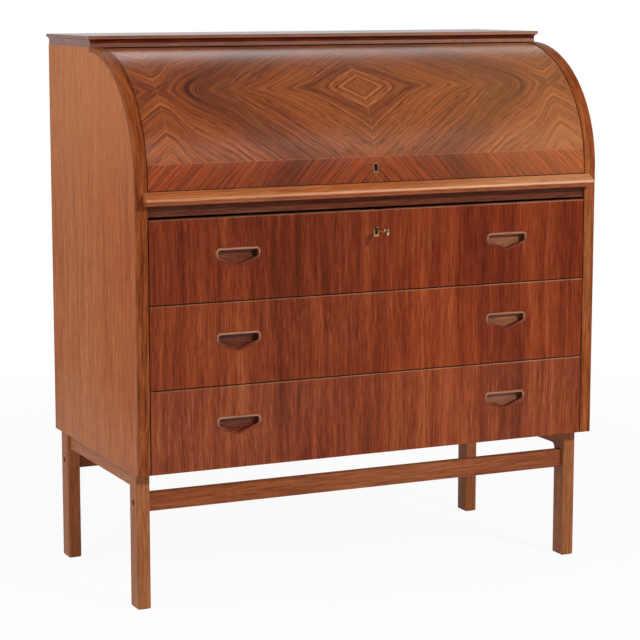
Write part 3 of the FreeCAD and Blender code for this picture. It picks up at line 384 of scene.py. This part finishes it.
def diamond_teak():
    """Unrolls the lid, folds it into one leaf, and colours the leaf across its grain."""
    made, tree = blank_finish("diamond_teak")
    spot = put(tree, "ShaderNodeSeparateXYZ", {0: bent(lid_radius)(tree)}).outputs
    off_seam = calc(tree, "ABSOLUTE", spot["X"])
    off_middle = calc(tree, "ABSOLUTE", calc(tree, "SUBTRACT", spot["Z"], middle_height))
    u = calc(tree, "PINGPONG", off_seam, leaf_length)
    w = calc(tree, "PINGPONG", off_middle, leaf_height)
    round_nose = calc(tree, "MULTIPLY", reach(tree, off_seam, 0.27, 0.33, 0.0, 0.015),
                      reach(tree, off_seam, 0.345, 0.370, 1.0, 0.0))
    squared = calc(tree, "MULTIPLY_ADD", w, w, calc(tree, "MULTIPLY", round_nose, round_nose))
    soft_w = calc(tree, "SUBTRACT", calc(tree, "SQRT", squared), round_nose)
    across = calc(tree, "MULTIPLY_ADD", u, math.sin(grain_slope),
                  calc(tree, "MULTIPLY", soft_w, math.cos(grain_slope)))
    along = calc(tree, "MULTIPLY_ADD", u, math.cos(grain_slope),
                 calc(tree, "MULTIPLY", w, -math.sin(grain_slope)))
    arrow = calc(tree, "MULTIPLY", reach(tree, w, 0.0, 0.020, 0.009, 0.0, smooth=True),
                 calc(tree, "MULTIPLY", reach(tree, u, 0.075, 0.105), reach(tree, u, 0.20, 0.28, 1.0, 0.0)))
    across = calc(tree, "SUBTRACT", across, arrow)
    foot_edge = middle_height - leaf_height
    foot = reach(tree, spot["Z"], foot_edge - 0.0002, foot_edge, 1.0, 0.0)
    drop = calc(tree, "SUBTRACT", foot_edge, spot["Z"])
    foot_across = calc(tree, "MULTIPLY_ADD", off_seam, math.sin(foot_slope),
                       calc(tree, "MULTIPLY_ADD", drop, -math.cos(foot_slope), 0.09))
    foot_along = calc(tree, "MULTIPLY_ADD", off_seam, math.cos(foot_slope),
                      calc(tree, "MULTIPLY_ADD", drop, math.sin(foot_slope), 3.0))
    across = put(tree, "ShaderNodeMix", {0: foot, 2: across, 3: foot_across}).outputs[0]
    along = put(tree, "ShaderNodeMix", {0: foot, 2: along, 3: foot_along}).outputs[0]
    leaf = put(tree, "ShaderNodeCombineXYZ", {0: across, 1: along, 2: 0.0}).outputs[0]
    wander = calc(tree, "SUBTRACT", noise(tree, leaf, (12.0, 5.0, 1.0), 2.0, 0.5), 0.5)
    across = calc(tree, "MULTIPLY_ADD", wander, wander_width, across)
    ripple = calc(tree, "SUBTRACT", noise(tree, leaf, (55.0, 17.0, 1.0), 2.0, 0.5), 0.5)
    across = calc(tree, "MULTIPLY_ADD", ripple, ripple_width, across)
    leaf = put(tree, "ShaderNodeCombineXYZ", {0: across, 1: along, 2: 0.0}).outputs[0]
    figure = ramp(tree, reach(tree, across, 0.0, figure_width),
                  [(far / 1000 / figure_width, paint(tone)) for far, tone in figure_stops])
    streak = noise(tree, leaf, (110.0, 2.2, 1.0), 3.0, 0.6)
    line = noise(tree, leaf, (380.0, 5.0, 1.0), 3.0, 0.65)
    fibre = noise(tree, leaf, (900.0, 26.0, 1.0), 2.0, 0.6)
    value = calc(tree, "MULTIPLY_ADD", calc(tree, "SUBTRACT", streak, 0.5), 0.7, 0.5)
    value = calc(tree, "MULTIPLY_ADD", calc(tree, "SUBTRACT", line, 0.5), 2.5, value)
    value = calc(tree, "MULTIPLY_ADD", calc(tree, "SUBTRACT", fibre, 0.5), 1.1, value)
    lines = ramp(tree, value, [(0.10, paint("6e5044")), (0.42, paint("b4aca6")), (0.60, paint("bcbcbc")),
                               (0.92, paint("e4d8c6"))])
    colour = tint(tree, "OVERLAY", 0.9, figure, lines)
    vein = noise(tree, leaf, (75.0, 1.5, 1.0), 3.0, 0.55, (4.0, 2.0, 0.0))
    vein = calc(tree, "ABSOLUTE", calc(tree, "SUBTRACT", vein, 0.5))
    pale = reach(tree, vein, 0.0, 0.008, 0.34, 0.0, smooth=True)
    dark = calc(tree, "MULTIPLY", reach(tree, vein, 0.010, 0.026, 1.0, 0.0, smooth=True),
                reach(tree, vein, 0.005, 0.010, 0.0, 0.62, smooth=True))
    colour = tint(tree, "MIX", pale, colour, paint("b87a4c"))
    colour = tint(tree, "MULTIPLY", dark, colour, paint("7c4c38"))
    colour = tint(tree, "MULTIPLY", calc(tree, "MULTIPLY", foot, 0.9), colour, paint("f4c890"))
    # Painted against reflected light: warmer and less blue towards the foot, offsetting the grey of the
    # floor's reflection there.
    colour = tint(tree, "MULTIPLY", reach(tree, spot["Z"], 0.05, 0.24, 1.0, 0.3, smooth=True), colour,
                  paint("fef4d4"))
    # Painted light and shade: the lid is darker towards its left end and paler, more orange towards its
    # right.
    colour = tint(tree, "MULTIPLY", reach(tree, spot["X"], -0.45, 0.05, 0.8, 0.0, smooth=True), colour,
                  paint("f0dfd0"))
    colour = tint(tree, "MIX", reach(tree, spot["X"], 0.0, 0.40, 0.0, 0.13, smooth=True), colour,
                  paint("d69c62"))
    off_end = calc(tree, "ABSOLUTE", calc(tree, "SUBTRACT", off_seam, leaf_length))
    seam = calc(tree, "MINIMUM", off_end, off_seam)
    seam = calc(tree, "MAXIMUM", seam, calc(tree, "MULTIPLY", foot, 0.1))
    off_foot = calc(tree, "ABSOLUTE", calc(tree, "SUBTRACT", off_middle, leaf_height))
    seam = calc(tree, "MINIMUM", seam, off_foot)
    joint = reach(tree, seam, 0.0002, 0.0009, 0.30, 0.0, smooth=True)
    colour = tint(tree, "MIX", joint, colour, paint("b07a52"))
    pore = noise(tree, leaf, (1300.0, 48.0, 1.0), 1.0, 0.5)
    pore = reach(tree, pore, 0.58, 0.70, 0.0, 0.45, smooth=True)
    colour = tint(tree, "MULTIPLY", pore, colour, paint("6a4232"))
    rough = calc(tree, "MULTIPLY_ADD", fibre, 0.12, 0.30)
    height = calc(tree, "MULTIPLY_ADD", pore, -1.2, fibre)
    satin(tree, colour, rough, height, 0.14, 0.75)
    return made


dress(diamond_teak(), "lid_shell")
cheek_teak = teak("cheek_teak", "Z", ("5f3524", "784a33", "8c5a40", "9d6b4d"), 5.0, 0.8)
dress(cheek_teak, "lid_cheeks")

# Writing slab and its strip: a veneered board that slides on side bearers, and the solid
# teak nose glued along its front, which is the only grip. Its nose carries a painted highlight.
nose_height, nose_face = 0.717, -0.2185
slab_teak = teak("slab_teak", "X", ("8a4e30", "a2643e", "b2754b", "c08659"), 6.0, 0.7)
dress(slab_teak, "writing_slab")


def painted_nose_light(tree, spot, colour):
    """A painted highlight along the strip's nose, most of all towards its right end, painted shade below it
    and painted light on the slope above.
    """
    off_nose = calc(tree, "ABSOLUTE", calc(tree, "SUBTRACT", spot["Z"], nose_height))
    share = calc(tree, "MULTIPLY", reach(tree, off_nose, 0.0004, 0.0028, 0.62, 0.0, smooth=True),
                 reach(tree, spot["X"], -0.40, 0.35, 0.35, 1.0, smooth=True))
    share = calc(tree, "MULTIPLY", share, reach(tree, spot["Y"], nose_face, nose_face + 0.002, 1.0, 0.0))
    under_nose_shade = reach(tree, spot["Z"], nose_height - 0.004, nose_height - 0.002, 0.8, 0.0, smooth=True)
    colour = tint(tree, "MULTIPLY", under_nose_shade, colour, paint("c8a894"))
    slope_light = calc(tree, "MULTIPLY", reach(tree, spot["Z"], nose_height, nose_height + 0.003),
                 reach(tree, spot["X"], -0.05, 0.42, 0.0, 0.40, smooth=True))
    colour = tint(tree, "MIX", slope_light, colour, paint("dfa878"))
    return tint(tree, "MIX", share, colour, paint("f0cba6"))


strip_teak = teak("strip_teak", "X", ("7c3f1e", "95532d", "ab6639", "c27f50"), 7.0, 0.8,
                  gloss=0.26, specular=0.5, shade=painted_nose_light)
dress(strip_teak, "slab_strip")

# Drawer fronts: one wide sheet of darker, redder teak veneer, cut across so that its
# upright grain runs on from drawer to drawer.


def top_edge_glint(top_z):
    """A painted highlight along the top arris of a front, stronger to the right and broken up in patches.
    """
    def shade(tree, spot, colour):
        rim = calc(tree, "MULTIPLY", reach(tree, spot["Z"], top_z - 0.0022, top_z - 0.0006, smooth=True),
                   reach(tree, spot["X"], -0.42, 0.42, 0.25, 0.75))
        glint_patches = reach(tree, noise(tree, spot["X"], (9.0, 9.0, 9.0), 4.0, 0.6), 0.35, 0.60, 0.45, 1.0)
        return tint(tree, "MIX", calc(tree, "MULTIPLY", rim, glint_patches), colour, paint("b98c6c"))
    return shade


# Painted light and shade: the upper front's tones are darkest and the lower front's lightest, the upper one
# for the shade under the slab.
for drawer, tones in (("upper_drawer", ("431807", "602410", "793318", "964e2c")),
                      ("middle_drawer", ("481b0a", "692b14", "843c1e", "a25a35")),
                      ("lower_drawer", ("4c2010", "6d321d", "884428", "a86440"))):
    front_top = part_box(drawer + "_front")[1][2]
    front_teak = teak(drawer + "_teak", "Z", tones, 8.0, 0.75, bands=0.24, arris=(0.2, 0.0010),
                      shade=top_edge_glint(front_top), figure=(1.2, 0.65, 1.2))
    dress(front_teak, drawer + "_front")

# Drawer pulls: shields of solid teak let into the fronts, with a bead round a deep pocket
# that is undercut behind the bead for the fingertips. Two on each drawer.
front_y = -0.202
shield_half, shoulder_drop, point_drop, middle_drop = 0.042, 0.020, 0.034, 0.015
shield_corners = ((-shield_half, 0.0), (shield_half, 0.0), (shield_half, -shoulder_drop),
                  (0.0, -point_drop), (-shield_half, -shoulder_drop))
corner_cuts = (0.0085, 0.0085, 0.0070, 0.0034, 0.0070)
bead_width, bead_proud, bead_root, bead_steps = 0.0050, 0.0020, 0.0006, 8
pocket_depth, pocket_round, pull_back = 0.0125, 0.0016, 0.016
grip_start, wall_step, hollow_half = 0.0042, 0.0002, 0.0372
undercut_across, undercut_up = 1.08, 1.16


def step_in(shape, face, inward, outward):
    """Insets the face by one step of a profile, and lifts or sinks it."""
    bmesh.ops.inset_region(shape, faces=[face], thickness=inward, depth=outward,
                           use_even_offset=True, use_boundary=True)


def carve_pull(shape, middle_x, top_z):
    """Draws the shield, rounds its corners, steps the bead and the pocket in, and undercuts it."""
    spots = [shape.verts.new((middle_x + x, front_y + pull_back, top_z + z)) for x, z in shield_corners]
    face = shape.faces.new(spots)
    face.normal_update()
    if face.normal.y > 0:
        face.normal_flip()
    for spot, cut in zip(spots, corner_cuts):
        bmesh.ops.bevel(shape, geom=[spot], offset=cut, offset_type="OFFSET", affect="VERTICES",
                        segments=8, profile=0.5, material=-1)
    face = [f for f in shape.faces if all(abs(v.co.y - front_y - pull_back) < 1e-6 for v in f.verts)
            and abs(f.calc_center_median().x - middle_x) < shield_half][0]
    raised = bmesh.ops.extrude_face_region(shape, geom=[face], use_keep_orig=True)["geom"]
    face = [part for part in raised if isinstance(part, bmesh.types.BMFace)][0]
    bmesh.ops.translate(shape, verts=face.verts, vec=(0, bead_root - pull_back, 0))
    face.normal_update()
    if face.normal.y > 0:
        face.normal_flip()
    turns = [math.pi * i / bead_steps for i in range(bead_steps + 1)]
    for before, after in zip(turns, turns[1:]):
        step_in(shape, face, bead_width / 2 * (math.cos(before) - math.cos(after)),
                (bead_proud + bead_root) * (math.sin(after) - math.sin(before)))
    step_in(shape, face, wall_step, bead_root - grip_start)
    step_in(shape, face, wall_step, grip_start + pocket_round - pocket_depth)
    turns = [math.pi / 2 * i / 4 for i in range(5)]
    for before, after in zip(turns, turns[1:]):
        step_in(shape, face, pocket_round * (math.cos(before) - math.cos(after)),
                -pocket_round * (math.sin(after) - math.sin(before)))
    middle_z = top_z - middle_drop
    for spot in shape.verts:
        hollow = front_y + grip_start + 0.0001 < spot.co.y < front_y + pull_back - 0.001
        if hollow and abs(spot.co.x - middle_x) < hollow_half:
            spot.co.x = middle_x + (spot.co.x - middle_x) * undercut_across
            spot.co.z = middle_z + (spot.co.z - middle_z) * undercut_up


def make_piece(name, shape, finish, sharp=math.radians(50)):
    """Turns a finished shape into a smooth-shaded piece with its sharp arrises kept."""
    bmesh.ops.remove_doubles(shape, verts=shape.verts, dist=1e-6)
    bmesh.ops.recalc_face_normals(shape, faces=shape.faces)
    for face in shape.faces:
        face.smooth = True
    for edge in shape.edges:
        edge.smooth = len(edge.link_faces) == 2 and edge.calc_face_angle(0.0) < sharp
    mesh = bpy.data.meshes.new(name)
    shape.to_mesh(mesh)
    shape.free()
    mesh.materials.append(finish)
    piece = bpy.data.objects.new(name, mesh)
    scene.collection.objects.link(piece)
    return piece


def painted_pull_shading(top_z):
    """Painted shade in the pockets behind the bead and on the bead's lower part, a painted highlight on its
    upper crest, and floors painted darker on the left-hand pulls and paler on the right-hand ones.
    """
    def shade(tree, spot, colour):
        low = reach(tree, spot["Z"], top_z - 0.024, top_z - 0.006, 1.0, 0.0)
        bead = reach(tree, spot["Y"], front_y + 0.0015, front_y + 0.0035, 1.0, 0.0)
        colour = tint(tree, "MULTIPLY", calc(tree, "MULTIPLY", bead, low), colour, paint("c89078"))
        crest = reach(tree, spot["Y"], front_y - 0.0019, front_y - 0.0012, 0.22, 0.0)
        crest = calc(tree, "MULTIPLY", crest, calc(tree, "SUBTRACT", 1.0, low))
        colour = tint(tree, "MIX", crest, colour, paint("dcb49a"))
        bottom = reach(tree, spot["Y"], front_y + 0.0095, front_y + 0.0120)
        wall = calc(tree, "SUBTRACT", 1.0, calc(tree, "MAXIMUM", bead, bottom))
        colour = tint(tree, "MULTIPLY", wall, colour, paint("452315"))
        left = calc(tree, "MULTIPLY", bottom, reach(tree, spot["X"], -0.1, 0.1, 0.60, 0.0))
        colour = tint(tree, "MULTIPLY", left, colour, paint("b08468"))
        lightening = calc(tree, "MULTIPLY", bottom, reach(tree, spot["X"], -0.1, 0.1, 0.0, 0.15))
        return tint(tree, "MIX", lightening, colour, paint("b98a68"))
    return shade


pull_tones = ("4f2416", "74402c", "8f563e", "ae7558")
for drawer in ("lower_drawer", "middle_drawer", "upper_drawer"):
    low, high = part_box(drawer + "_pulls")
    pull_teak = teak(drawer + "_pull_teak", "X", pull_tones, 9.0, 0.7, gloss=0.30, specular=0.3,
                     arris=(0.25, 0.0014), shade=painted_pull_shading(high[2]))
    shape = bmesh.new()
    for middle_x in (low[0] + shield_half, high[0] - shield_half):
        carve_pull(shape, middle_x, high[2])
    pair = make_piece(drawer + "_shield_pulls", shape, pull_teak)
    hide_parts(drawer + "_pulls")
    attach(pair, drawer)

# Drawer boxes and hidden boards: pale beech sides and backs with thin plywood bottoms in
# grooves, a plywood back panel, and plain inner boards that carry the drawers and the slab.
box_tones = ("b98d5f", "caa072", "d6b083", "e0be95")
side_beech = teak("side_beech", "Y", box_tones, 10.0, 0.5)
dress(side_beech, "lower_drawer_sides", "middle_drawer_sides", "upper_drawer_sides")
back_beech = teak("back_beech", "X", box_tones, 11.0, 0.5)
dress(back_beech, "lower_drawer_back", "middle_drawer_back", "upper_drawer_back")
plywood = teak("plywood", "X", ("a87a50", "bb8d61", "c79b70", "d3ab82"), 12.0, 0.6,
               bands=0.2, gloss=0.56, specular=0.1)
dress(plywood, "lower_drawer_bottom", "middle_drawer_bottom", "upper_drawer_bottom", "gallery_back")
back_ply = teak("back_ply", "Z", ("8a5a3c", "9f6c49", "ad7a55", "bb8a64"), 13.0, 0.6,
                bands=0.2, gloss=0.56, specular=0.1)
dress(back_ply, "back_panel")
inner_board = teak("inner_board", "X", ("9a6e48", "ad7f56", "bb8d63", "c99d73"), 14.0, 0.5,
                   bands=0.2, gloss=0.56, specular=0.1)
dress(inner_board, "bottom_board", "drawer_runners", "slab_bearers", "slab_rear_rail")

# Legs, rails and stretchers: two solid teak side frames under the carcase, joined by a front
# and a rear stretcher of darker stock. The grain runs along each member, and all are oiled.
leg_tones = ("6a381d", "87502f", "9d633e", "b77d57")
leg_teak = teak("leg_teak", "Z", leg_tones, 15.0, 0.7)
dress(leg_teak, "front_left_leg", "front_right_leg", "rear_left_leg", "rear_right_leg")
side_rail_teak = teak("side_rail_teak", "Y", leg_tones, 16.0, 0.7)
dress(side_rail_teak, "leg_rails")
stretcher_teak = teak("stretcher_teak", "X", ("5c2c17", "784126", "8e5233", "a96c48"), 17.0, 0.7)
dress(stretcher_teak, "front_stretcher", "rear_stretcher")

# Gallery: thin teak boards set up behind the lid as shelf, ends and dividers, with two small
# drawers. Their turned knobs are of the same teak as the pulls.
gallery_tones = ("7d4a2f", "96603f", "a66f4b", "b57f5a")
gallery_teak = teak("gallery_teak", "X", gallery_tones, 18.0, 0.7)
dress(gallery_teak, "gallery_shelf", "gallery_boards", "left_inner_drawer", "right_inner_drawer")
divider_teak = teak("divider_teak", "Y", gallery_tones, 19.0, 0.7)
dress(divider_teak, "gallery_ends", "gallery_dividers")
knob_teak = teak("knob_teak", "X", pull_tones, 9.0, 0.7, gloss=0.30, specular=0.3)
dress(knob_teak, "left_inner_knob", "right_inner_knob")

# Brass fittings: the key, the lock cases and their bolts, cast and filed, worn bright in
# places and dull in others.


def metal(name, clean, dull, rough, seed):
    """Bare metal with clouds of tarnish and fine scratches."""
    made, tree = blank_finish(name)
    place = put(tree, "ShaderNodeTexCoord").outputs["Object"]
    cloud = noise(tree, place, (90.0,) * 3, 4.0, 0.6, (seed, seed, seed))
    scratch = noise(tree, place, (2400.0, 240.0, 2400.0), 2.0, 0.5)
    colour = tint(tree, "MIX", reach(tree, cloud, 0.42, 0.66), paint(clean), paint(dull))
    value = calc(tree, "MULTIPLY_ADD", cloud, 0.25, rough - 0.12)
    value = calc(tree, "MULTIPLY_ADD", scratch, 0.12, value)
    relief = put(tree, "ShaderNodeBump", {"Strength": 0.08, "Distance": 0.0002, "Height": scratch})
    skin = put(tree, "ShaderNodeBsdfPrincipled",
               {"Base Color": colour, "Roughness": value, "Metallic": 1.0, "Normal": relief.outputs[0]})
    put(tree, "ShaderNodeOutputMaterial", {"Surface": skin.outputs[0]})
    return made


brass = metal("brass", "f4d2a6", "b08a5c", 0.26, 1.0)
dress(brass, "drawer_key", "drawer_lock_case", "drawer_lock_bolt", "lid_lock_case", "lid_lock_bolt")

# Keyhole plates: small brass liners pressed into the upper drawer and the lid, rounded on
# their outer and inner edges. The lid's plate is bent to the lid's curve.
plate_outline = {"radius": 0.0055, "waist": 0.0080, "foot_width": 0.0096, "foot_drop": 0.0125}
hole_outline = {"radius": 0.0033, "waist": 0.0040, "foot_width": 0.0040, "foot_drop": 0.0090}
plate_back, plate_proud, plate_round = 0.0012, 0.0004, 0.0007
drawer_keyhole_z, lid_keyhole_z = 0.6472, 0.759


def keyhole_line(shape, y, z, radius, waist, foot_width, foot_drop):
    """A keyhole's outline: a circle whose lower arc is pulled down to a straight foot."""
    ring = bmesh.ops.create_circle(shape, cap_ends=False, segments=40, radius=radius)["verts"]
    bmesh.ops.rotate(shape, verts=ring, cent=(0, 0, 0), matrix=Matrix.Rotation(math.pi / 2, 3, "X"))
    foot = [spot for spot in ring if spot.co.z < 0 and abs(spot.co.x) < waist / 2]
    widest = max(abs(spot.co.x) for spot in foot)
    for spot in foot:
        spot.co = (spot.co.x / widest * foot_width / 2, 0, -foot_drop)
    bmesh.ops.translate(shape, verts=ring, vec=(0, y, z))
    return list(dict.fromkeys(edge for spot in ring for edge in spot.link_edges))


def keyhole_plate(name, node, body, middle_z, bend):
    """Fills between two keyhole outlines, thickens the plate and rounds its front rims."""
    shape = bmesh.new()
    outer = keyhole_line(shape, front_y, middle_z, **plate_outline)
    inner = keyhole_line(shape, front_y, middle_z, **hole_outline)
    bmesh.ops.bridge_loops(shape, edges=outer + inner)
    bmesh.ops.recalc_face_normals(shape, faces=shape.faces)
    flat = list(shape.faces)
    raised = bmesh.ops.extrude_face_region(shape, geom=flat, use_keep_orig=True)["geom"]
    raised = [part for part in raised if isinstance(part, bmesh.types.BMVert)]
    bmesh.ops.translate(shape, verts=raised, vec=(0, -plate_proud - plate_back, 0))
    bmesh.ops.translate(shape, verts=shape.verts, vec=(0, plate_back, 0))
    bmesh.ops.recalc_face_normals(shape, faces=shape.faces)
    rims = [edge for edge in shape.edges if all(spot in raised for spot in edge.verts)
            and edge.calc_face_angle(0.0) > 1.0]
    bmesh.ops.bevel(shape, geom=rims, offset=plate_round, offset_type="OFFSET", affect="EDGES",
                    segments=4, profile=0.5, material=-1)
    if bend:
        for spot in shape.verts:
            reached = lid_radius + front_y - spot.co.y
            spot.co.y = axis_y - math.sqrt(reached ** 2 - (spot.co.z - axis_z) ** 2)
    plate = make_piece(name, shape, brass, math.radians(65))
    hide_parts(node)
    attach(plate, body)


keyhole_plate("drawer_keyhole_plate", "drawer_escutcheon", "upper_drawer", drawer_keyhole_z, False)
keyhole_plate("lid_keyhole_plate", "lid_escutcheon", "lid", lid_keyhole_z, True)

# Steel: the turned pins and studs, the stamped levers, rods and yokes of the lid's linkage,
# and the screws, all plain. The stretchers' bolts are near black, painted shade for their holes.
steel = metal("steel", "b9bbbd", "85878a", 0.38, 2.0)
dress(steel, "lid_pivot_pins", "lever_pivot_studs", "link_levers", "link_rods", "slab_yokes",
      "leg_rail_screws")
dress(metal("black_steel", "3c3a38", "232221", 0.45, 3.0), "stretcher_bolts")

# Screws of the back panel: slotted steel heads, driven through the plywood along all four
# edges of the carcase, and left with their slots at any angle.
head_width, crown_share, head_height, head_sunk = 0.0070, 0.86, 0.0009, 0.0001
slot_width, slot_depth, slot_turn = 0.0011, 0.0006, 1.9
side_margin, row_margin = 0.011, 0.010
back_low, back_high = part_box("back_panel")
left, right_end = back_low[0] + side_margin, back_high[0] - side_margin
low_row, high_row = back_low[2] + row_margin, back_high[2] - row_margin
places = [(left + (right_end - left) * i / 5, z) for z in (low_row, high_row) for i in range(6)]
places += [(x, low_row + (high_row - low_row) * i / 4) for x in (left, right_end) for i in (1, 2, 3)]
shape = bmesh.new()
bmesh.ops.create_cone(shape, cap_ends=True, segments=20, radius1=head_width / 2,
                      radius2=head_width / 2 * crown_share, depth=head_height)
for side in (-1, 1):
    crown = [face for face in shape.faces if face.normal.z > 0.9]
    rim = dict.fromkeys(part for face in crown for part in list(face.verts) + list(face.edges))
    bmesh.ops.bisect_plane(shape, geom=crown + list(rim), dist=1e-7,
                           plane_co=(0, side * slot_width / 2, 0), plane_no=(0, 1, 0))
middle = [face for face in shape.faces
          if face.normal.z > 0.9 and abs(face.calc_center_median().y) < slot_width / 4]
sunk = bmesh.ops.extrude_face_region(shape, geom=middle)["geom"]
bmesh.ops.translate(shape, verts=[part for part in sunk if isinstance(part, bmesh.types.BMVert)],
                    vec=(0, 0, -slot_depth))
bmesh.ops.delete(shape, geom=middle, context="FACES_ONLY")
pattern = list(shape.verts) + list(shape.edges) + list(shape.faces)
for number, (x, z) in enumerate(places):
    copy = bmesh.ops.duplicate(shape, geom=pattern)["geom"]
    spots = [part for part in copy if isinstance(part, bmesh.types.BMVert)]
    turn = Matrix.Rotation(-math.pi / 2, 3, "X") @ Matrix.Rotation(number * slot_turn, 3, "Z")
    bmesh.ops.rotate(shape, verts=spots, cent=(0, 0, 0), matrix=turn)
    bmesh.ops.translate(shape, verts=spots, vec=(x, back_high[1] + head_height / 2 - head_sunk, z))
bmesh.ops.delete(shape, geom=[part for part in pattern if isinstance(part, bmesh.types.BMVert)],
                 context="VERTS")
screws = make_piece("back_panel_screws", shape, steel, math.radians(35))
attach(screws, "carcase")
